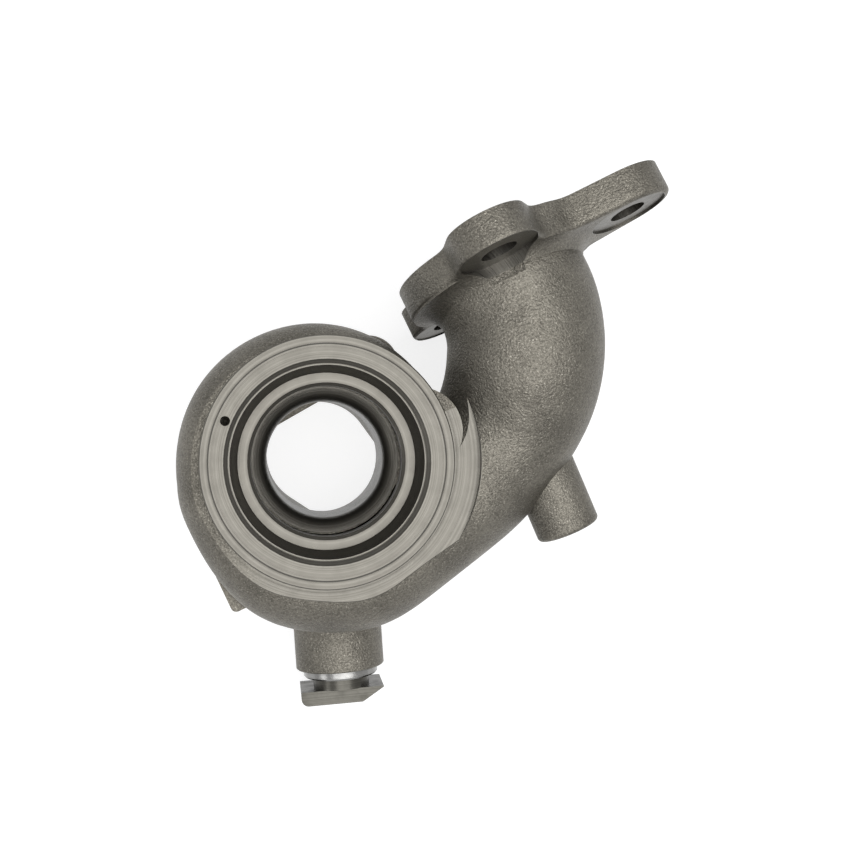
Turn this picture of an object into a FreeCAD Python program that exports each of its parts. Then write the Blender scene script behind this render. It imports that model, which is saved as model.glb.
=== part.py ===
"""Turbine housing of a small turbocharger, with its wastegate.

Millimetres.  Z is the turbine axis, pointing out of the bearing-side flange.
The outlet flange stands on z = 0.  Angles are measured counter-clockwise from
+X when the bearing-side face is looked at from above.
"""
import FreeCAD, Part

import math
import os

Vector = FreeCAD.Vector

# Bearing-side clamp flange
FACE_Z = 64.0
CLAMP_R = 31.0
CLAMP_RIM = 2.5
CLAMP_FLANK_DEG = 20.0
NECK_R = 27.5
LEDGE_DROP = 8.0
LEDGE_R = 38.5
FACE_EDGE_BREAK = 0.3
MARK_GROOVE_R = 28.6
MARK_GROOVE_WIDTH = 0.4
MARK_GROOVE_DEPTH = 0.3
PIN_HOLE_R = 26.6
PIN_HOLE_DEG = 158.0
PIN_HOLE_D = 2.4
PIN_HOLE_DEPTH = 3.2

# Bearing-side bore
REGISTER_R = 25.1
REGISTER_CHAMFER = 1.0
REGISTER_DEPTH = 1.6
SEAT_CONE_TOP_R = 23.7
SEAT_CONE_FOOT_R = 21.9
LAND_DROP = 6.8
LAND_R = 19.5
LAND_GROOVE_WIDTH = 0.5
LAND_GROOVE_DEPTH = 0.4
LIP_R = 18.7
LIP_BEVEL = 0.8

# Turbine passage: nozzle slot, shroud and throat
SLOT_TOP_Z = 52.0
SLOT_FLOOR_Z = 44.5
SLOT_R = 21.0
SHROUD_TOP_Z = 47.0
SHROUD_R = 18.2
SHROUD_AXIAL = 6.0
THROAT_R = 15.0
THROAT_EXIT_Z = 21.0
SHROUD_WALL_FOOT_R = 20.2
SHROUD_WALL_FOOT_Z = 37.0
COLUMN_R = 22.0

# Inlet duct from the inlet flange to the scroll.  Each station gives plan
# position, skin height, heading, pitch, skin radius, gas radius, gas height.
INLET_DEG = -65.0
INLET_PITCH = 11.0
INLET_X = 46.8
INLET_Y = 46.8
INLET_Z = 44.0
INLET_SKIN_R = 20.8
INLET_PORT_R = 16.0
INLET_MOUTH_R = 16.7
INLET_MOUTH_DEPTH = 7.0
DUCT_STATIONS = (
    (50.1, 39.7, 45.5, -68.0, 9.0, 20.6, 16.2, 45.5),
    (51.8, 29.5, 46.3, -85.0, 3.0, 20.5, 16.2, 46.0),
    (50.6, 18.5, 45.3, -103.0, -3.0, 20.0, 15.8, 44.6),
    (46.4, 7.0, 41.0, -118.0, -5.0, 19.0, 15.0, 40.4),
    (38.8, -3.7, 40.0, -131.0, -3.0, 18.2, 14.0, 39.2),
    (29.3, -12.7, 40.6, -137.0, -2.0, 17.3, 13.1, 39.3),
    (19.3, -20.8, 40.5, -145.0, 0.0, 17.0, 12.3, 39.6),
    (9.0, -27.8, 41.0, -161.0, 0.0, 16.4, 11.6, 40.2),
)

# Scroll round the turbine axis.  Each station gives the angle, the radius and
# height of the skin's centre, the skin radius, the gas radius and gas height.
SCROLL_INNER_R = 18.5
SCROLL_STATIONS = (
    (-90.0, 29.3, 41.5, 15.5, 11.0, 40.8),
    (-112.0, 28.6, 42.4, 15.0, 10.2, 41.8),
    (-135.0, 25.9, 44.2, 14.3, 8.9, 43.0),
    (-152.0, 25.0, 45.4, 13.6, 8.3, 43.6),
    (-170.0, 24.5, 46.3, 13.2, 7.8, 44.1),
    (-192.0, 24.5, 46.5, 12.7, 7.5, 44.4),
    (-215.0, 24.4, 46.6, 12.3, 7.2, 44.7),
    (-265.0, 23.6, 47.0, 11.2, 6.3, 45.6),
    (-305.0, 22.9, 47.0, 10.0, 5.5, 46.2),
    (-340.0, 22.6, 47.2, 9.2, 4.7, 46.8),
    (-360.0, 22.5, 47.6, 8.8, 3.6, 47.6),
)
SPLIT_STATION = 4
SECTION_POINTS = 12

# Web that carries the tongue between the scroll's end and the duct
TONGUE_WEB_R = 11.0
TONGUE_WEB_REACH = 24.2
TONGUE_WEB_DEG = 18.0
TONGUE_WEB_FOOT_Z = 32.0

# Inlet flange.  Each bolt gives its place along and up the flange, and its lobe radius.
INLET_PLATE = 8.5
INLET_HUB_R = 26.5
INLET_BOLTS = ((-4.5, 29.6, 10.2), (34.0, 10.5, 11.8), (-14.6, -23.6, 10.8))
INLET_BOLT_D = 9.4
INLET_WAIST_R = 17.0
INLET_SPOT_D = 20.4
INLET_SPOT_DEPTH = 0.6
INLET_SPOT_REACH = 5.0
INLET_ROOT_R = 6.0
INLET_ROOT_SINK = 0.6
INLET_OUTLINE_BLEND = 7.0
INLET_EDGE_R = 1.4

# Outlet chamber and outlet flange
CHAMBER_R = 19.5
CHAMBER_WALL = 4.5
CHAMBER_SIDE_R = 14.5
CHAMBER_TOP_Z = 30.0
CHAMBER_FLAT = 13.3
CHAMBER_FLAT_DEG = 120.0
OUTLET_PLATE = 8.5
OUTLET_RIM = 9.0
OUTLET_LOBE_R = 8.5
OUTLET_BOLTS = ((-22.8, 18.6), (-26.0, -17.0), (14.0, 25.5), (46.0, -9.0))
OUTLET_BOLT_D = 8.4
OUTLET_OUTLINE_BLEND = 6.0
OUTLET_EDGE_R = 1.2

# Wastegate: the spindle lies level, nearly along -Y
SPINDLE_X = 5.6
SPINDLE_Y = -58.5
SPINDLE_Z = 15.5
SPINDLE_TILT_DEG = 4.1
SPINDLE_R = 4.0
SPINDLE_RUN = 0.1
SPINDLE_INNER = 38.0
BOSS_R = 12.2
BOSS_LENGTH = 33.0
BOSS_FLARE = 3.5
BOSS_FLARE_START = 12.0
BOSS_FLARE_LENGTH = 8.0
BUSH_R = 7.25
BUSH_LENGTH = 32.0
BUSH_SHOULDER_R = 10.25
BUSH_SHOULDER = 2.4
BUSH_BEVEL = 0.5
POCKET_R = 6.0
POCKET_CLEAR = 2.0
ARM_ROOM_CLEAR = 1.0
ARM_ROOM_Z = 6.0
CRANK_GAP = 0.3
CRANK_HUB_R = 7.75
CRANK_HUB = 2.9
CRANK_PLATE = 3.9
CRANK_SIDE = 11.4
CRANK_TOP = 6.0
CRANK_FOOT = 10.0
CRANK_CORNER_R = 2.0
CRANK_CHAMFER = 6.0
CRANK_CHAMFER_DEPTH = 3.6
CRANK_PIN_D = 3.2
CRANK_PIN_OFFSET = 8.6
ARM_REACH = 17.5
ARM_WIDTH = 9.2
ARM_HUB_R = 5.0
ARM_END_R = 6.0
ARM_TOP = 1.2
ARM_THICK = 4.4
FLAP_R = 9.0
FLAP_THICK = 3.0
FLAP_BEVEL = 0.6
FLAP_SEAT_GAP = 0.05
FLAP_SHANK_R = 3.0
FLAP_PLAY = 0.1
SEAT_R = 10.0
SEAT_HEIGHT = 1.0
PORT_R = 7.0
PORT_TOP_Z = 34.0
WASHER_R = 5.5
WASHER_THICK = 1.4
RIVET_R = 4.2
RIVET_HEIGHT = 1.0

# Bracket boss on the outside of the duct
BRACKET_END = (64.6, -18.9, 41.5)
BRACKET_DEG = -66.4
BRACKET_R = 8.5
BRACKET_LENGTH = 21.0
BRACKET_EDGE_R = 1.2
BRACKET_DRILL_D = 6.8
BRACKET_DRILL_DEPTH = 12.0

# Square pad low on the scroll's left flank
PAD_CORNER = (-23.3, -40.3)
PAD_DEG = 25.0
PAD_ALONG = 20.0
PAD_DEEP = 14.0
PAD_FOOT_Z = 20.0
PAD_TOP_Z = 38.0
PAD_EDGE_R = 1.5

LEDGE_Z = FACE_Z - LEDGE_DROP
LAND_Z = FACE_Z - LAND_DROP
SEAT_Z = THROAT_EXIT_Z - SEAT_HEIGHT
FAR = 200.0
UP = Vector(0, 0, 1)


def heading_vector(heading, pitch=0.0):
    """Unit vector of a direction in plan and its climb."""
    level = math.cos(math.radians(pitch))
    return Vector(
        level * math.cos(math.radians(heading)),
        level * math.sin(math.radians(heading)),
        math.sin(math.radians(pitch)),
    )


def polar(radius, angle, height=0.0):
    return Vector(
        radius * math.cos(math.radians(angle)),
        radius * math.sin(math.radians(angle)),
        height,
    )


def revolved(points):
    """Solid of revolution about Z from (radius, height) corners."""
    corners = [Vector(r, 0, z) for r, z in points]
    face = Part.Face(Part.makePolygon(corners + corners[:1]))
    return face.revolve(Vector(0, 0, 0), UP, 360)


def section(centre, direction, radius):
    """Closed round section square to a direction, starting at its top."""
    top = (UP - direction * UP.dot(direction)).normalize()
    side = direction.cross(top)
    ring = []
    for i in range(SECTION_POINTS):
        turn = 2 * math.pi * i / SECTION_POINTS
        ring.append(centre + top * (radius * math.cos(turn)) + side * (radius * math.sin(turn)))
    curve = Part.BSplineCurve()
    curve.interpolate(ring, PeriodicFlag=True)
    return Part.Wire(curve.toShape())


def inlet_sections(gas):
    direction = heading_vector(INLET_DEG, INLET_PITCH)
    radius = INLET_PORT_R if gas else INLET_SKIN_R
    back = Vector(INLET_X, INLET_Y, INLET_Z)
    wires = [section(back, direction, radius)]
    if gas:
        wires.insert(0, section(back - direction * INLET_PLATE, direction, radius))
    for x, y, z, heading, pitch, skin_r, gas_r, gas_z in DUCT_STATIONS:
        centre = Vector(x, y, gas_z if gas else z)
        wires.append(section(centre, heading_vector(heading, pitch), gas_r if gas else skin_r))
    return wires


def scroll_sections(gas):
    wires = []
    for angle, reach, z, skin_r, gas_r, gas_z in SCROLL_STATIONS:
        if gas:
            centre = polar(SCROLL_INNER_R + gas_r, angle, gas_z)
        else:
            centre = polar(reach, angle, z)
        wires.append(section(centre, heading_vector(angle - 90), gas_r if gas else skin_r))
    return wires


def scroll_and_duct(gas):
    """Duct and scroll as two lofts that meet on the far side of the scroll."""
    scroll = scroll_sections(gas)
    first = Part.makeLoft(inlet_sections(gas) + scroll[:SPLIT_STATION + 1], True)
    second = Part.makeLoft(scroll[SPLIT_STATION:], True)
    return first, second


def hull_face(centre_a, radius_a, centre_b, radius_b):
    """Flat face between two circles and their outer tangents, at z = 0."""
    a = Vector(*centre_a, 0)
    b = Vector(*centre_b, 0)
    span = b - a
    along = math.atan2(span.y, span.x)
    lean = math.acos((radius_a - radius_b) / span.Length)
    ends = []
    for side in (-1, 1):
        normal = Vector(math.cos(along + side * lean), math.sin(along + side * lean), 0)
        ends.append((a + normal * radius_a, b + normal * radius_b))
    back = a - span * (radius_a / span.Length)
    front = b + span * (radius_b / span.Length)
    edges = [
        Part.LineSegment(ends[0][0], ends[0][1]).toShape(),
        Part.Arc(ends[0][1], front, ends[1][1]).toShape(),
        Part.LineSegment(ends[1][1], ends[1][0]).toShape(),
        Part.Arc(ends[1][0], back, ends[0][0]).toShape(),
    ]
    return Part.Face(Part.Wire(edges))


def disc(centre, radius):
    return Part.Face(Part.Wire(Part.makeCircle(radius, Vector(*centre, 0))))


def joined(shapes):
    """Solids fused one after another."""
    whole = shapes[0]
    for shape in shapes[1:]:
        whole = whole.fuse(shape)
    return whole


def carved(shape, cuts):
    """Solid with each of the cuts taken out in turn."""
    for cut in cuts:
        shape = shape.cut(cut)
    return shape


def flat_joined(faces):
    """One flat face covering all the given faces."""
    face = faces[0].multiFuse(faces[1:]).removeSplitter()
    return face.Faces[0]


def blended(face, radius):
    """Flat face with its inner corners rounded to a radius."""
    return face.makeOffset2D(radius).makeOffset2D(-radius).Faces[0]


def prism(face, low, high):
    face = face.copy()
    face.translate(Vector(0, 0, low))
    return face.extrude(Vector(0, 0, high - low))


def rod(base, direction, radius, length):
    return Part.makeCylinder(radius, length, base, direction)


def round_rim(solid, height, radius):
    """Round the edges of a solid that lie wholly at one height."""
    rim = []
    for edge in solid.Edges:
        box = edge.BoundBox
        if abs(box.ZMin - height) < 1e-4 and abs(box.ZMax - height) < 1e-4:
            rim.append(edge)
    return solid.makeFillet(radius, rim)


def placed(shape, origin, x_axis, z_axis):
    """Shape moved from the XYZ frame to one with the given X and Z axes."""
    y_axis = z_axis.cross(x_axis)
    matrix = FreeCAD.Matrix(
        x_axis.x, y_axis.x, z_axis.x, origin.x,
        x_axis.y, y_axis.y, z_axis.y, origin.y,
        x_axis.z, y_axis.z, z_axis.z, origin.z,
        0, 0, 0, 1,
    )
    moved = shape.copy()
    moved.Placement = FreeCAD.Placement(matrix).multiply(moved.Placement)
    return moved


def on_inlet(shape):
    """Shape from the inlet flange's own frame: along, up, into the duct.

    Its origin is the centre of the flange's back face.
    """
    origin = Vector(INLET_X, INLET_Y, INLET_Z)
    into = heading_vector(INLET_DEG, INLET_PITCH)
    return placed(shape, origin, heading_vector(INLET_DEG + 90), into)


def on_spindle(shape):
    """Shape from the wastegate's own frame: across, down, inward.

    Its origin is the centre of the boss's outer end.
    """
    origin = Vector(SPINDLE_X, SPINDLE_Y, SPINDLE_Z)
    inward = heading_vector(90 + SPINDLE_TILT_DEG)
    return placed(shape, origin, heading_vector(SPINDLE_TILT_DEG), inward)


def port_centre():
    origin = Vector(SPINDLE_X, SPINDLE_Y, 0)
    inward = heading_vector(90 + SPINDLE_TILT_DEG)
    across = heading_vector(SPINDLE_TILT_DEG)
    return origin + inward * SPINDLE_INNER + across * ARM_REACH


def inlet_flange():
    """Lobed plate with rounded back edge and a flared root round the duct."""
    faces = [disc((0, 0), INLET_HUB_R)]
    for u, w, lobe_r in INLET_BOLTS:
        faces.append(hull_face((0, 0), INLET_WAIST_R, (u, w), lobe_r))
    outline = blended(flat_joined(faces), INLET_OUTLINE_BLEND)
    plate = round_rim(prism(outline, -INLET_PLATE, 0), 0, INLET_EDGE_R)
    crown = Vector(INLET_SKIN_R - INLET_ROOT_SINK, 0, INLET_ROOT_R)
    foot = Vector(crown.x + INLET_ROOT_R, 0, 0)
    hollow = foot + Vector(0, 0, INLET_ROOT_R) - Vector(1, 0, 1) * (INLET_ROOT_R * math.sqrt(0.5))
    inner = Vector(INLET_SKIN_R - INLET_ROOT_R, 0, 0)
    ring = Part.Wire([
        Part.Arc(foot, hollow, crown).toShape(),
        Part.LineSegment(crown, Vector(inner.x, 0, INLET_ROOT_R)).toShape(),
        Part.LineSegment(Vector(inner.x, 0, INLET_ROOT_R), inner - UP).toShape(),
        Part.LineSegment(inner - UP, foot - UP).toShape(),
        Part.LineSegment(foot - UP, foot).toShape(),
    ])
    root = Part.Face(ring).revolve(Vector(0, 0, 0), UP, 360)
    return on_inlet(plate.fuse(root))


def inlet_cuts():
    centre = Vector(0, 0, -INLET_PLATE - 1)
    cuts = [rod(centre, UP, INLET_MOUTH_R, INLET_MOUTH_DEPTH + 1)]
    for u, w, _ in INLET_BOLTS:
        cuts.append(rod(Vector(u, w, centre.z), UP, INLET_BOLT_D / 2, INLET_PLATE + 2))
        spot = Vector(u, w, -INLET_SPOT_DEPTH)
        cuts.append(rod(spot, UP, INLET_SPOT_D / 2, INLET_SPOT_REACH))
    return [on_inlet(cut) for cut in cuts]


def outlet_body():
    """Chamber under the throat, standing on the outlet flange."""
    port = port_centre()
    side = (port.x, port.y)
    chamber = prism(hull_face((0, 0), CHAMBER_R, side, CHAMBER_SIDE_R), 0, CHAMBER_TOP_Z)
    faces = [hull_face((0, 0), CHAMBER_R + OUTLET_RIM - CHAMBER_WALL, side,
                       CHAMBER_SIDE_R + OUTLET_RIM - CHAMBER_WALL)]
    for bolt in OUTLET_BOLTS:
        faces.append(hull_face((0, 0), CHAMBER_R, bolt, OUTLET_LOBE_R))
    outline = blended(flat_joined(faces), OUTLET_OUTLINE_BLEND)
    plate = round_rim(prism(outline, 0, OUTLET_PLATE), OUTLET_PLATE, OUTLET_EDGE_R)
    return [chamber, plate]


def outlet_cuts():
    port = port_centre()
    cavity = hull_face((0, 0), CHAMBER_R - CHAMBER_WALL, (port.x, port.y),
                       CHAMBER_SIDE_R - CHAMBER_WALL)
    room = prism(cavity, -1, THROAT_EXIT_Z)
    seat = rod(Vector(port.x, port.y, SEAT_Z), UP, SEAT_R, SEAT_HEIGHT + 1)
    flat = Part.makeBox(FAR, 2 * FAR, FAR, Vector(CHAMBER_FLAT, -FAR, -FAR / 2))
    flat.rotate(Vector(0, 0, 0), UP, CHAMBER_FLAT_DEG)
    hub = on_spindle(Part.Vertex(0, 0, SPINDLE_INNER))
    swing = hull_face((port.x, port.y), CHAMBER_SIDE_R - CHAMBER_WALL - 0.3,
                      (hub.X, hub.Y), ARM_WIDTH / 2 + ARM_ROOM_CLEAR)
    cuts = [carved(room, [seat, flat]), prism(swing, ARM_ROOM_Z, SEAT_Z), rod(Vector(port.x, port.y, 0), UP, PORT_R, PORT_TOP_Z)]
    for x, y in OUTLET_BOLTS:
        cuts.append(rod(Vector(x, y, -1), UP, OUTLET_BOLT_D / 2, OUTLET_PLATE + 2))
    return cuts


def wastegate_boss():
    flare_end = BOSS_FLARE_START + BOSS_FLARE_LENGTH
    profile = [
        (0, 0), (BOSS_R - FACE_EDGE_BREAK, 0), (BOSS_R, FACE_EDGE_BREAK),
        (BOSS_R, BOSS_FLARE_START), (BOSS_R + BOSS_FLARE, flare_end),
        (BOSS_R + BOSS_FLARE, BOSS_LENGTH), (0, BOSS_LENGTH),
    ]
    return on_spindle(revolved(profile))


def boss_cuts():
    bore = rod(Vector(0, 0, -1), UP, BUSH_R, BUSH_LENGTH + 1)
    reach = SPINDLE_INNER + ARM_WIDTH / 2 + POCKET_CLEAR
    pocket = rod(Vector(0, 0, BUSH_LENGTH), UP, POCKET_R, reach - BUSH_LENGTH)
    return [on_spindle(bore), on_spindle(pocket)]


def bracket_boss():
    end = Vector(*BRACKET_END)
    into = heading_vector(BRACKET_DEG) * -1
    boss = rod(end, into, BRACKET_R, BRACKET_LENGTH)
    rim = [edge for edge in boss.Edges if edge.BoundBox.Center.distanceToPoint(end) < 1]
    drill = rod(end - into, into, BRACKET_DRILL_D / 2, BRACKET_DRILL_DEPTH + 1)
    return boss.makeFillet(BRACKET_EDGE_R, rim), drill


def flank_pad():
    pad = Part.makeBox(PAD_ALONG, PAD_DEEP, PAD_TOP_Z - PAD_FOOT_Z)
    upright = [e for e in pad.Edges if abs(e.BoundBox.ZLength) > 1]
    pad = pad.makeFillet(PAD_EDGE_R, upright)
    turn = heading_vector(PAD_DEG)
    return placed(pad, Vector(*PAD_CORNER, PAD_FOOT_Z), turn, UP)


def clamp_flange():
    flank = (CLAMP_R - NECK_R) * math.tan(math.radians(CLAMP_FLANK_DEG))
    rim_foot = FACE_Z - CLAMP_RIM
    return revolved([
        (0, LEDGE_Z - 1), (NECK_R, LEDGE_Z - 1), (NECK_R, rim_foot - flank),
        (CLAMP_R, rim_foot), (CLAMP_R, FACE_Z - FACE_EDGE_BREAK),
        (CLAMP_R - FACE_EDGE_BREAK, FACE_Z), (0, FACE_Z),
    ])


def bearing_bore():
    """Everything turned out from the bearing side, down to the throat exit."""
    register = REGISTER_R - REGISTER_CHAMFER
    groove_r = SEAT_CONE_FOOT_R - LAND_GROOVE_WIDTH
    corners = [
        (0, FACE_Z + 1), (REGISTER_R + 1, FACE_Z + 1), (REGISTER_R, FACE_Z),
        (register, FACE_Z - REGISTER_CHAMFER), (register, FACE_Z - REGISTER_DEPTH),
        (SEAT_CONE_TOP_R, FACE_Z - REGISTER_DEPTH),
        (SEAT_CONE_FOOT_R, LAND_Z), (SEAT_CONE_FOOT_R, LAND_Z - LAND_GROOVE_DEPTH),
        (groove_r, LAND_Z - LAND_GROOVE_DEPTH), (groove_r, LAND_Z),
        (LAND_R, LAND_Z), (LIP_R, LAND_Z - LIP_BEVEL), (LIP_R, SLOT_TOP_Z),
        (SHROUD_R, SLOT_TOP_Z), (SHROUD_R, SHROUD_TOP_Z),
    ]
    points = [Vector(r, 0, z) for r, z in corners]
    knee_r = SHROUD_R - (SHROUD_R - THROAT_R) * math.sqrt(0.5)
    knee_z = SHROUD_TOP_Z - SHROUD_AXIAL * (1 - math.sqrt(0.5))
    foot = Vector(THROAT_R, 0, SHROUD_TOP_Z - SHROUD_AXIAL)
    floor = Vector(THROAT_R, 0, THROAT_EXIT_Z - 1)
    base = Vector(0, 0, THROAT_EXIT_Z - 1)
    edges = [Part.LineSegment(a, b).toShape() for a, b in zip(points, points[1:])]
    edges += [
        Part.Arc(points[-1], Vector(knee_r, 0, knee_z), foot).toShape(),
        Part.LineSegment(foot, floor).toShape(),
        Part.LineSegment(floor, base).toShape(),
        Part.LineSegment(base, points[0]).toShape(),
    ]
    return Part.Face(Part.Wire(edges)).revolve(Vector(0, 0, 0), UP, 360)


def nozzle_slot():
    return revolved([
        (LIP_R - 1, SLOT_FLOOR_Z), (SLOT_R, SLOT_FLOOR_Z), (SLOT_R, SLOT_TOP_Z),
        (LIP_R - 1, SLOT_TOP_Z),
    ])


def shroud_wall():
    """Wall between the throat and the scroll, kept when the gas room is cut."""
    wall = revolved([
        (0, THROAT_EXIT_Z), (SHROUD_WALL_FOOT_R, THROAT_EXIT_Z),
        (SHROUD_WALL_FOOT_R, SHROUD_WALL_FOOT_Z), (SHROUD_R + 0.6, SHROUD_TOP_Z),
        (0, SHROUD_TOP_Z),
    ])
    return wall


def mark_cuts():
    ring = revolved([
        (MARK_GROOVE_R, FACE_Z - MARK_GROOVE_DEPTH),
        (MARK_GROOVE_R + MARK_GROOVE_WIDTH, FACE_Z - MARK_GROOVE_DEPTH),
        (MARK_GROOVE_R + MARK_GROOVE_WIDTH, FACE_Z + 1),
        (MARK_GROOVE_R, FACE_Z + 1),
    ])
    foot = FACE_Z - PIN_HOLE_DEPTH
    place = polar(PIN_HOLE_R, PIN_HOLE_DEG, foot)
    hole = rod(place, UP, PIN_HOLE_D / 2, PIN_HOLE_DEPTH + 1)
    tip = Part.makeCone(0, PIN_HOLE_D / 2, PIN_HOLE_D / 3, place - UP * (PIN_HOLE_D / 3), UP)
    return [ring, hole.fuse(tip)]


def turbine_housing():
    skin = list(scroll_and_duct(False))
    column = rod(Vector(0, 0, THROAT_EXIT_Z), UP, COLUMN_R, LEDGE_Z - THROAT_EXIT_Z)
    web = rod(polar(TONGUE_WEB_REACH, TONGUE_WEB_DEG, TONGUE_WEB_FOOT_Z), UP, TONGUE_WEB_R,
              LEDGE_Z - TONGUE_WEB_FOOT_Z)
    bracket, drill = bracket_boss()
    cast = joined(skin + [column, web] + outlet_body()
                  + [inlet_flange(), wastegate_boss(), bracket, flank_pad()])
    clearance = rod(Vector(0, 0, LEDGE_Z), UP, LEDGE_R, FAR)
    below = Part.makeBox(2 * FAR, 2 * FAR, FAR, Vector(-FAR, -FAR, -FAR))
    body = carved(cast, [clearance, below]).fuse(clamp_flange())
    gas = [room.cut(shroud_wall()) for room in scroll_and_duct(True)]
    cuts = gas + [bearing_bore(), nozzle_slot(), drill] + inlet_cuts() + outlet_cuts()
    return carved(body, cuts + boss_cuts() + mark_cuts())


def bushing():
    head = BUSH_SHOULDER
    shell = revolved([
        (0, BUSH_LENGTH), (0, -head), (BUSH_SHOULDER_R - BUSH_BEVEL, -head),
        (BUSH_SHOULDER_R, BUSH_BEVEL - head), (BUSH_SHOULDER_R, 0), (BUSH_R, 0),
        (BUSH_R, BUSH_LENGTH),
    ])
    bore = rod(Vector(0, 0, -head - 1), UP, SPINDLE_R + SPINDLE_RUN, BUSH_LENGTH + head + 2)
    return on_spindle(shell.cut(bore))


def crank_start():
    """Inward position of the crank hub's face that runs on the bushing."""
    return -BUSH_SHOULDER - CRANK_GAP


def spindle():
    low = crank_start() - CRANK_HUB - CRANK_PLATE
    high = SPINDLE_INNER + ARM_WIDTH / 2
    shaft = rod(Vector(0, 0, low), UP, SPINDLE_R, high - low)
    hub = rod(Vector(0, 0, high - ARM_WIDTH), UP, ARM_HUB_R, ARM_WIDTH)
    arm = Part.makeBox(ARM_REACH, ARM_THICK, ARM_WIDTH,
                       Vector(0, -ARM_TOP, high - ARM_WIDTH))
    end = rod(Vector(ARM_REACH, -ARM_TOP, SPINDLE_INNER), Vector(0, 1, 0), ARM_END_R, ARM_THICK)
    hole = rod(Vector(ARM_REACH, -ARM_TOP - 1, SPINDLE_INNER), Vector(0, 1, 0),
               FLAP_SHANK_R + FLAP_PLAY, ARM_THICK + 2)
    return on_spindle(joined([shaft, hub, arm, end]).cut(hole).removeSplitter())


def crank_lever():
    start = crank_start()
    high = start - CRANK_HUB
    low = high - CRANK_PLATE
    side = CRANK_SIDE
    corners = [(-side, low), (side - CRANK_CHAMFER, low), (side, low + CRANK_CHAMFER_DEPTH),
               (side, high), (-side, high)]
    points = [Vector(x, -CRANK_TOP, z) for x, z in corners]
    face = Part.Face(Part.makePolygon(points + points[:1]))
    plate = face.extrude(Vector(0, CRANK_TOP + CRANK_FOOT, 0))
    corner = [e for e in plate.Edges if e.BoundBox.YLength > 1 and e.BoundBox.XMax < 0
              and e.BoundBox.ZMax < low + 0.01]
    plate = plate.makeFillet(CRANK_CORNER_R, corner)
    hub = rod(Vector(0, 0, high), UP, CRANK_HUB_R, CRANK_HUB)
    pin = polar(CRANK_PIN_OFFSET, 135, low - 1)
    lever = plate.fuse(hub)
    lever = carved(lever, [rod(Vector(0, 0, low - 1), UP, SPINDLE_R, FAR / 4),
                           rod(pin, UP, CRANK_PIN_D / 2, CRANK_PLATE + 2)])
    return on_spindle(lever.removeSplitter())


def wastegate_valve():
    port = port_centre()
    top = SEAT_Z - FLAP_SEAT_GAP
    washer_z = SPINDLE_Z + ARM_TOP - ARM_THICK
    tail = washer_z - WASHER_THICK - RIVET_HEIGHT
    corners = [
        (0, top), (FLAP_R, top), (FLAP_R, top - FLAP_THICK + FLAP_BEVEL),
        (FLAP_R - FLAP_BEVEL, top - FLAP_THICK), (FLAP_SHANK_R, top - FLAP_THICK),
        (FLAP_SHANK_R, tail + RIVET_HEIGHT), (RIVET_R, tail + RIVET_HEIGHT),
        (RIVET_R, tail), (0, tail),
    ]
    valve = revolved(corners)
    valve.translate(Vector(port.x, port.y, 0))
    return valve


def valve_washer():
    port = port_centre()
    z = SPINDLE_Z + ARM_TOP - ARM_THICK - WASHER_THICK
    ring = rod(Vector(port.x, port.y, z), UP, WASHER_R, WASHER_THICK)
    return ring.cut(rod(Vector(port.x, port.y, z - 1), UP, FLAP_SHANK_R, WASHER_THICK + 2))


PARTS = {
    "turbine_housing": turbine_housing,
    "wastegate_bushing": bushing,
    "wastegate_spindle": spindle,
    "crank_lever": crank_lever,
    "wastegate_valve": wastegate_valve,
    "valve_washer": valve_washer,
}

os.makedirs("parts", exist_ok=True)
for name, build in PARTS.items():
    shape = build()
    box = shape.BoundBox
    print(name, shape.isValid(), len(shape.Solids), round(shape.Volume),
          [round(v, 1) for v in (box.XMin, box.XMax, box.YMin, box.YMax, box.ZMin, box.ZMax)])
    shape.Solids[0].exportStep("parts/" + name + ".step")
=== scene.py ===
import math

import bpy
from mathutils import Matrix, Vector


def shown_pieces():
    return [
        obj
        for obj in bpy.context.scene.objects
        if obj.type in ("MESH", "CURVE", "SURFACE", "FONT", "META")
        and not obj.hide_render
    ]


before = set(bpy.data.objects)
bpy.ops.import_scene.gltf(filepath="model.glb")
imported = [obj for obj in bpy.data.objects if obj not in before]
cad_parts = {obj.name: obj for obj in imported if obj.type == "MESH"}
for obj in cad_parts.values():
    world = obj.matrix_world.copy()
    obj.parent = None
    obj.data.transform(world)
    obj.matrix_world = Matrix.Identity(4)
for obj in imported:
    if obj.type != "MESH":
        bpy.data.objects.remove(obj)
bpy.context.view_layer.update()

# Places of the turned faces on the casting, in millimetres and degrees.  The
# ledge is turned below a line through the axis, and fades out towards -X.
FACE_Z = 64.0
CLAMP_R = 31.0
GROOVE_R = 28.8
GROOVE_DEPTH = 0.5
LEDGE_Z = 56.0
LEDGE_R = 38.5
LEDGE_END_SLOPE = 0.42
LEDGE_FADE_X = (-28.0, -14.0)
SHROUD_R = 18.2
THROAT_FOOT_Z = 21.2
# Heights in the throat over which painted shade darkens it, darkest at the lower one
THROAT_SHADE_Z = (36.0, 55.0)
INLET = Vector((46.8, 46.8, 44.0))
INLET_DEG = -65.0
INLET_PITCH = 11.0
INLET_PLATE = 8.5
INLET_REACH = 48.0
SPOTS = ((-4.5, 29.6), (34.0, 10.5), (-14.6, -23.6))
SPOT_R = 10.2
SPOT_CUT_DEPTHS = (-0.7, 2.2)
BOLT_R = 4.85
SPINDLE = Vector((5.6, -58.5, 15.5))
SPINDLE_DEG = 94.1

# How far each mask reaches past its face, in millimetres
MASK_SLACK = 0.1
FLAT_SLACK = 0.08
SPOT_SLACK = 0.15
RIM_SLACK = 0.3
THROAT_SLACK = 0.6

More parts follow.
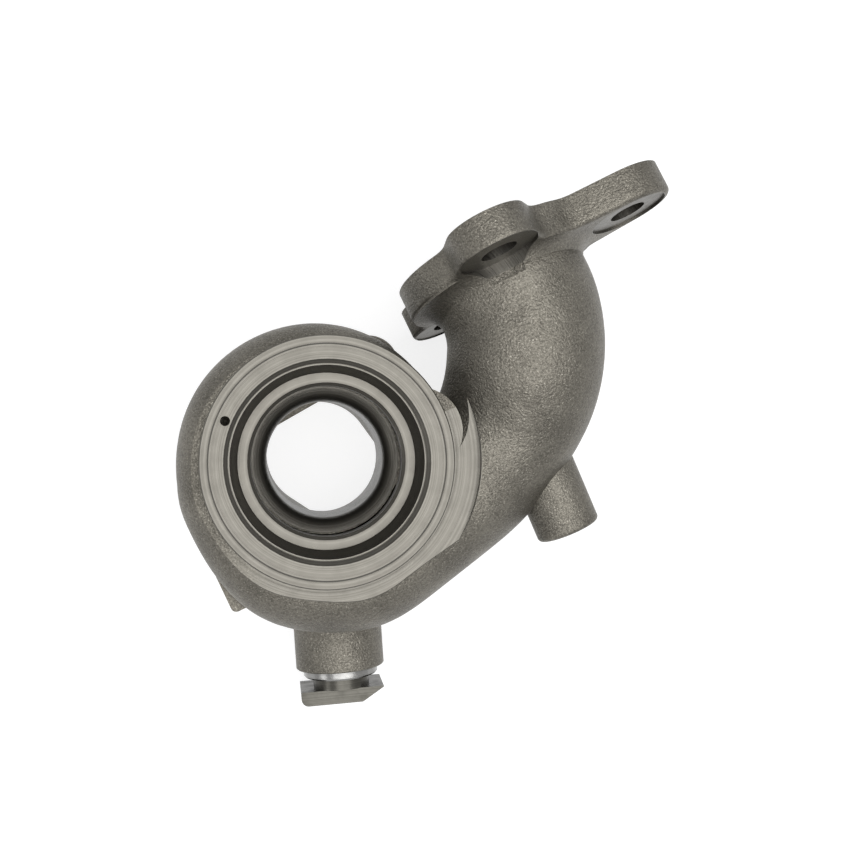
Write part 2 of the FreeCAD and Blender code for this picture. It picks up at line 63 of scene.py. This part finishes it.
# Tones of the casting: linear red, green and blue
CAST_DARK = (0.126, 0.117, 0.098)
CAST_LIGHT = (0.178, 0.166, 0.140)
CAST_GRAIN = (0.036, 0.033, 0.028)
CAST_SPECK = (0.36, 0.34, 0.295)
TURNED_DARK = (0.110, 0.104, 0.091)
TURNED_LIGHT = (0.142, 0.135, 0.119)
TURNED_STAIN = (0.070, 0.066, 0.057)
TURNED_LINE = (0.045, 0.042, 0.038)
# painted shade: near black in the shallow marking groove of the clamp face
GROOVE_SHADE_TONE = (0.022, 0.021, 0.019)
# painted shade, laid deeper down the throat
THROAT_SHADE_TONE = (0.048, 0.044, 0.038)

# Depth of the relief, in metres
CAST_RELIEF = 0.00027
CAST_WAVE = 0.0016
LATHE_RELIEF = 0.00004
STEEL_RELIEF = 0.00003

# Background: what is seen of it, and the light that it gives
SKY_SEEN = (0.84, 0.84, 0.84, 1)
SKY_LIGHT = (0.92, 0.95, 1.0, 1)
SKY_LIGHT_STRENGTH = 0.10
FLOOR_TONE = (0.40, 0.40, 0.40, 1)
FLOOR_GLOW = 0.80
FLOOR_REACH = 30.0
FLOOR_DROP = 0.0002

# Lamps: name, place in metres, side in metres, power in watts
LAMPS = (
    ("key", (0.06, -0.06, 0.90), 0.95, 8.6),
    ("right", (0.42, 0.20, 0.62), 0.16, 0.45),
    ("left", (-0.62, -0.22, 0.40), 0.20, 0.4),
)
LAMP_AIM = (0.02, 0.0, 0.04)

# Camera: place in metres, turn in radians, lens in millimetres
CAMERA_PLACE = (-0.013844, 0.012913, 0.380728)
CAMERA_TURN = (-0.01231, -0.11736, 0.00337)
CAMERA_LENS = 55.474
CAMERA_SENSOR = 36.0
CAMERA_CLIP = (0.01, 100.0)


def heading(degrees, pitch=0.0):
    """Unit vector at an angle from +X towards +Y, and a pitch up from there."""
    level = math.cos(math.radians(pitch))
    return Vector((
        level * math.cos(math.radians(degrees)),
        level * math.sin(math.radians(degrees)),
        math.sin(math.radians(pitch)),
    ))


class Nodes:
    """Builds one node material with short calls."""

    def __init__(self, name):
        self.material = bpy.data.materials.new(name)
        self.material.use_nodes = True
        self.tree = self.material.node_tree
        self.tree.nodes.clear()
        self.shader = self.tree.nodes.new("ShaderNodeBsdfPrincipled")
        output = self.tree.nodes.new("ShaderNodeOutputMaterial")
        self.link(self.shader.outputs[0], output.inputs[0])
        coords = self.tree.nodes.new("ShaderNodeTexCoord")
        scale = self.tree.nodes.new("ShaderNodeVectorMath")
        scale.operation = "SCALE"
        scale.inputs["Scale"].default_value = 1000.0
        self.link(coords.outputs["Object"], scale.inputs[0])
        self.mm = scale.outputs[0]

    def link(self, source, target):
        self.tree.links.new(source, target)

    def feed(self, socket, value):
        if hasattr(value, "is_output"):
            self.link(value, socket)
        else:
            socket.default_value = value

    def math(self, operation, a, b=0.0, c=0.0):
        node = self.tree.nodes.new("ShaderNodeMath")
        node.operation = operation
        for socket, value in zip(node.inputs, (a, b, c)):
            self.feed(socket, value)
        return node.outputs[0]

    def split(self, vector):
        node = self.tree.nodes.new("ShaderNodeSeparateXYZ")
        self.link(vector, node.inputs[0])
        return node.outputs

    def along(self, origin, direction):
        """Distance of the shaded point along a direction, from an origin."""
        away = self.tree.nodes.new("ShaderNodeVectorMath")
        away.operation = "SUBTRACT"
        self.link(self.mm, away.inputs[0])
        away.inputs[1].default_value = origin
        dot = self.tree.nodes.new("ShaderNodeVectorMath")
        dot.operation = "DOT_PRODUCT"
        self.link(away.outputs[0], dot.inputs[0])
        dot.inputs[1].default_value = direction
        return dot.outputs["Value"]

    def hypot(self, a, b):
        return self.math("SQRT", self.math("ADD", self.math("MULTIPLY", a, a),
                                           self.math("MULTIPLY", b, b)))

    def noise(self, scale, detail, rough):
        node = self.tree.nodes.new("ShaderNodeTexNoise")
        self.link(self.mm, node.inputs["Vector"])
        node.inputs["Scale"].default_value = scale
        node.inputs["Detail"].default_value = detail
        node.inputs["Roughness"].default_value = rough
        return node.outputs[0]

    def lines(self, place, scale, detail):
        """Uneven lines that follow one distance, as a lathe leaves them."""
        node = self.tree.nodes.new("ShaderNodeTexNoise")
        node.noise_dimensions = "1D"
        self.link(place, node.inputs["W"])
        node.inputs["Scale"].default_value = scale
        node.inputs["Detail"].default_value = detail
        return node.outputs[0]

    def remap(self, value, low, high, out_low, out_high):
        node = self.tree.nodes.new("ShaderNodeMapRange")
        self.link(value, node.inputs["Value"])
        for name, number in (("From Min", low), ("From Max", high),
                             ("To Min", out_low), ("To Max", out_high)):
            node.inputs[name].default_value = number
        return node.outputs[0]

    def mix(self, factor, a, b):
        node = self.tree.nodes.new("ShaderNodeMix")
        node.data_type = "RGBA"
        self.feed(node.inputs[0], factor)
        for socket, value in ((node.inputs[6], a), (node.inputs[7], b)):
            self.feed(socket, value if hasattr(value, "is_output") else (*value, 1.0))
        return node.outputs[2]

    def blend(self, factor, a, b):
        node = self.tree.nodes.new("ShaderNodeMix")
        node.data_type = "FLOAT"
        self.feed(node.inputs[0], factor)
        self.feed(node.inputs[2], a)
        self.feed(node.inputs[3], b)
        return node.outputs[0]

    def bump(self, height, distance, strength=1.0, normal=None):
        """Bump whose height is in units of distance, given in metres."""
        node = self.tree.nodes.new("ShaderNodeBump")
        self.link(height, node.inputs["Height"])
        node.inputs["Distance"].default_value = distance
        self.feed(node.inputs["Strength"], strength)
        if normal:
            self.link(normal, node.inputs["Normal"])
        return node.outputs[0]

    def within(self, value, limit):
        return self.math("LESS_THAN", value, limit)

    def beyond(self, value, limit):
        return self.math("GREATER_THAN", value, limit)

    def invert(self, mask):
        return self.math("SUBTRACT", 1.0, mask)

    def both(self, a, b):
        return self.math("MULTIPLY", a, b)

    def either(self, *masks):
        whole = masks[0]
        for mask in masks[1:]:
            whole = self.math("MAXIMUM", whole, mask)
        return whole


def top_mask(n, x, y, z, radius):
    """The turned faces that the clamp flange and its ledge show from above."""
    top = n.both(n.within(radius, LEDGE_R + MASK_SLACK), n.beyond(z, LEDGE_Z - MASK_SLACK))
    past_ledge = n.beyond(n.math("MULTIPLY_ADD", x, -LEDGE_END_SLOPE, y), 0.0)
    shown = n.both(n.invert(past_ledge), n.remap(x, *LEDGE_FADE_X, 0.0, 1.0))
    hidden = n.both(n.beyond(radius, CLAMP_R + RIM_SLACK), n.invert(shown))
    return n.both(top, n.invert(hidden))


def inlet_masks(n):
    """The sealing face, spot faces and bolt holes of the inlet flange."""
    into = heading(INLET_DEG, INLET_PITCH)
    along = heading(INLET_DEG + 90)
    depth = n.along(INLET, into)
    u = n.along(INLET, along)
    w = n.along(INLET, into.cross(along))
    near_inlet = n.within(n.hypot(u, w), INLET_REACH)
    masks = [n.both(n.within(depth, MASK_SLACK - INLET_PLATE), near_inlet)]
    first, last = SPOT_CUT_DEPTHS
    deep_side = n.both(n.beyond(depth, first), n.within(depth, last))
    in_plate = n.both(n.within(depth, 0.0), near_inlet)
    for spot_u, spot_w in SPOTS:
        off = n.hypot(n.math("SUBTRACT", u, spot_u), n.math("SUBTRACT", w, spot_w))
        masks.append(n.both(n.within(off, SPOT_R + SPOT_SLACK), deep_side))
        masks.append(n.both(n.within(off, BOLT_R), in_plate))
    return masks


def housing_material():
    """Cast iron: masks part the as-cast skin from the turned faces."""
    n = Nodes("cast_and_turned")
    x, y, z = n.split(n.mm)
    radius = n.hypot(x, y)
    throat = n.both(n.within(radius, SHROUD_R + THROAT_SLACK), n.beyond(z, THROAT_FOOT_Z))
    outlet = n.within(z, FLAT_SLACK)
    boss_end = n.within(n.along(SPINDLE, heading(SPINDLE_DEG)), FLAT_SLACK)
    turned = n.either(top_mask(n, x, y, z, radius), throat, outlet, boss_end, *inlet_masks(n))

    # As-cast skin: sandy grain with bright specks over slow changes of tone
    grain = n.noise(1.8, 2.0, 0.55)
    fine = n.noise(3.4, 2.0, 0.6)
    slow = n.noise(0.09, 3.0, 0.5)
    speck = n.remap(n.noise(2.3, 2.0, 0.7), 0.56, 0.72, 0.0, 1.0)
    tone = n.mix(n.remap(slow, 0.35, 0.65, 0.0, 1.0), CAST_DARK, CAST_LIGHT)
    tone = n.mix(n.remap(grain, 0.36, 0.56, 0.45, 0.0), tone, CAST_GRAIN)
    tone = n.mix(n.math("MULTIPLY", speck, 0.70), tone, CAST_SPECK)
    cast_metal = n.remap(speck, 0.0, 1.0, 0.82, 0.95)
    cast_rough = n.remap(fine, 0.3, 0.7, 0.36, 0.56)
    skin = n.bump(n.math("ADD", grain, n.math("MULTIPLY", fine, 0.25)), CAST_RELIEF)
    skin = n.bump(slow, CAST_WAVE, 0.5, skin)

    # Turned faces: uneven rings round the axis, a little stained, with painted shade in the
    # marking groove and down the throat
    place = n.math("ADD", radius, z)
    rings = n.lines(place, 1.8, 3.0)
    fine_rings = n.lines(place, 5.0, 2.0)
    stain = n.noise(0.22, 4.0, 0.6)
    metal = n.mix(n.remap(rings, 0.35, 0.65, 0.0, 1.0), TURNED_DARK, TURNED_LIGHT)
    metal = n.mix(n.remap(stain, 0.42, 0.68, 0.0, 0.16), metal, TURNED_STAIN)
    metal = n.mix(n.remap(fine_rings, 0.36, 0.50, 0.22, 0.0), metal, TURNED_LINE)
    # Painted shade: the shallow marking groove is darkened to near black
    off_groove = n.math("ABSOLUTE", n.math("SUBTRACT", radius, GROOVE_R))
    groove_shade = n.both(n.remap(off_groove, 0.10, 0.26, 0.85, 0.0),
                    n.beyond(z, FACE_Z - GROOVE_DEPTH))
    metal = n.mix(groove_shade, metal, GROOVE_SHADE_TONE)
    # Painted shade: the throat darkens the deeper it goes below the clamp face
    throat_shade = n.both(n.remap(z, *THROAT_SHADE_Z, 0.55, 0.0), throat)
    metal = n.mix(throat_shade, metal, THROAT_SHADE_TONE)
    turned_rough = n.remap(n.math("ADD", fine_rings, n.math("MULTIPLY", stain, 0.5)),
                           0.5, 1.0, 0.27, 0.44)
    lathe = n.bump(n.math("ADD", n.math("MULTIPLY", rings, 0.5), fine_rings),
                   LATHE_RELIEF, 0.8)

    normal = n.tree.nodes.new("ShaderNodeMix")
    normal.data_type = "VECTOR"
    n.feed(normal.inputs[0], turned)
    n.link(skin, normal.inputs[4])
    n.link(lathe, normal.inputs[5])
    n.link(n.mix(turned, tone, metal), n.shader.inputs["Base Color"])
    n.link(n.blend(turned, cast_metal, 0.95), n.shader.inputs["Metallic"])
    n.link(n.blend(turned, cast_rough, turned_rough), n.shader.inputs["Roughness"])
    n.link(normal.outputs[1], n.shader.inputs["Normal"])
    return n.material


def steel_material(name, colour, dark, rough, axis, line_scale, stain=0.3):
    """Turned or ground steel whose lines run round an axis."""
    n = Nodes(name)
    place = n.along(SPINDLE, axis)
    lines = n.lines(place, line_scale, 3.0)
    blotch = n.noise(0.35, 3.0, 0.55)
    tint = n.mix(n.remap(lines, 0.35, 0.65, 0.0, 0.5), colour, dark)
    tint = n.mix(n.remap(blotch, 0.45, 0.7, 0.0, stain), tint, dark)
    n.link(tint, n.shader.inputs["Base Color"])
    n.shader.inputs["Metallic"].default_value = 1.0
    n.link(n.remap(blotch, 0.3, 0.7, rough, rough + 0.14), n.shader.inputs["Roughness"])
    n.link(n.bump(lines, STEEL_RELIEF, 0.7), n.shader.inputs["Normal"])
    return n.material


def dress():
    """Give each node of the frame its material."""
    spindle_axis = heading(SPINDLE_DEG)
    materials = {
        "turbine_housing": housing_material(),
        "wastegate_bushing": steel_material(
            "ground_bushing", (0.31, 0.308, 0.30), (0.055, 0.053, 0.051), 0.16,
            spindle_axis, 6.0),
        "wastegate_spindle": steel_material(
            "heat_tinted_spindle", (0.30, 0.28, 0.25), (0.14, 0.12, 0.10), 0.28,
            spindle_axis, 5.0, 0.7),
        "crank_lever": steel_material(
            "milled_lever", (0.080, 0.077, 0.068), (0.038, 0.036, 0.031), 0.26,
            spindle_axis, 3.0),
        "wastegate_valve": steel_material(
            "turned_valve", (0.27, 0.26, 0.235), (0.13, 0.115, 0.10), 0.30,
            Vector((0.6, 0.3, 0.74)), 5.0, 0.6),
        "valve_washer": steel_material(
            "plain_washer", (0.33, 0.315, 0.29), (0.17, 0.155, 0.14), 0.26,
            Vector((0, 0, 1)), 5.0),
    }
    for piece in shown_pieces():
        if piece.name in materials:
            slots = piece.data.materials
            for i in range(len(slots)):
                slots[i] = materials[piece.name]
            if not slots:
                slots.append(materials[piece.name])


def seen_rays(tree):
    """1 where the background is looked at, straight or in gloss or glass, else 0."""
    path = tree.nodes.new("ShaderNodeLightPath")
    whole = path.outputs["Is Camera Ray"]
    for name in ("Is Glossy Ray", "Is Transmission Ray"):
        most = tree.nodes.new("ShaderNodeMath")
        most.operation = "MAXIMUM"
        tree.links.new(whole, most.inputs[0])
        tree.links.new(path.outputs[name], most.inputs[1])
        whole = most.outputs[0]
    return whole


def sky():
    """A pale background that gives only soft light."""
    world = bpy.data.worlds.new("studio")
    bpy.context.scene.world = world
    world.use_nodes = True
    tree = world.node_tree
    tree.nodes.clear()
    pale = tree.nodes.new("ShaderNodeBackground")
    pale.inputs["Color"].default_value = SKY_SEEN
    soft = tree.nodes.new("ShaderNodeBackground")
    soft.inputs["Color"].default_value = SKY_LIGHT
    soft.inputs["Strength"].default_value = SKY_LIGHT_STRENGTH
    choose = tree.nodes.new("ShaderNodeMixShader")
    output = tree.nodes.new("ShaderNodeOutputWorld")
    tree.links.new(seen_rays(tree), choose.inputs[0])
    tree.links.new(soft.outputs[0], choose.inputs[1])
    tree.links.new(pale.outputs[0], choose.inputs[2])
    tree.links.new(choose.outputs[0], output.inputs[0])


def floor():
    """A pale floor that keeps the object's shadow."""
    mesh = bpy.data.meshes.new("floor")
    corners = [(x * FLOOR_REACH, y * FLOOR_REACH, 0)
               for x, y in ((-1, -1), (1, -1), (1, 1), (-1, 1))]
    mesh.from_pydata(corners, [], [(0, 1, 2, 3)])
    ground = bpy.data.objects.new("floor", mesh)
    bpy.context.scene.collection.objects.link(ground)
    ground.location.z = -FLOOR_DROP

    cover = bpy.data.materials.new("pale_floor")
    cover.use_nodes = True
    tree = cover.node_tree
    tree.nodes.clear()
    matt = tree.nodes.new("ShaderNodeBsdfDiffuse")
    matt.inputs["Color"].default_value = FLOOR_TONE
    glow = tree.nodes.new("ShaderNodeEmission")
    level = tree.nodes.new("ShaderNodeMath")
    level.operation = "MULTIPLY"
    level.inputs[1].default_value = FLOOR_GLOW
    tree.links.new(seen_rays(tree), level.inputs[0])
    tree.links.new(level.outputs[0], glow.inputs["Strength"])
    whole = tree.nodes.new("ShaderNodeAddShader")
    output = tree.nodes.new("ShaderNodeOutputMaterial")
    tree.links.new(matt.outputs[0], whole.inputs[0])
    tree.links.new(glow.outputs[0], whole.inputs[1])
    tree.links.new(whole.outputs[0], output.inputs[0])
    mesh.materials.append(cover)


def lamps():
    for name, place, size, power in LAMPS:
        light = bpy.data.lights.new(name, "AREA")
        light.size = size
        light.energy = power
        lamp = bpy.data.objects.new(name, light)
        bpy.context.scene.collection.objects.link(lamp)
        lamp.location = place
        away = Vector(LAMP_AIM) - Vector(place)
        lamp.rotation_euler = away.to_track_quat("-Z", "Y").to_euler()


def camera():
    data = bpy.data.cameras.new("camera")
    data.sensor_width = CAMERA_SENSOR
    data.lens = CAMERA_LENS
    data.clip_start, data.clip_end = CAMERA_CLIP
    holder = bpy.data.objects.new("camera", data)
    bpy.context.scene.collection.objects.link(holder)
    holder.location = CAMERA_PLACE
    holder.rotation_euler = CAMERA_TURN
    bpy.context.scene.camera = holder


bpy.context.scene.view_settings.view_transform = "Standard"
dress()
sky()
floor()
lamps()
camera()
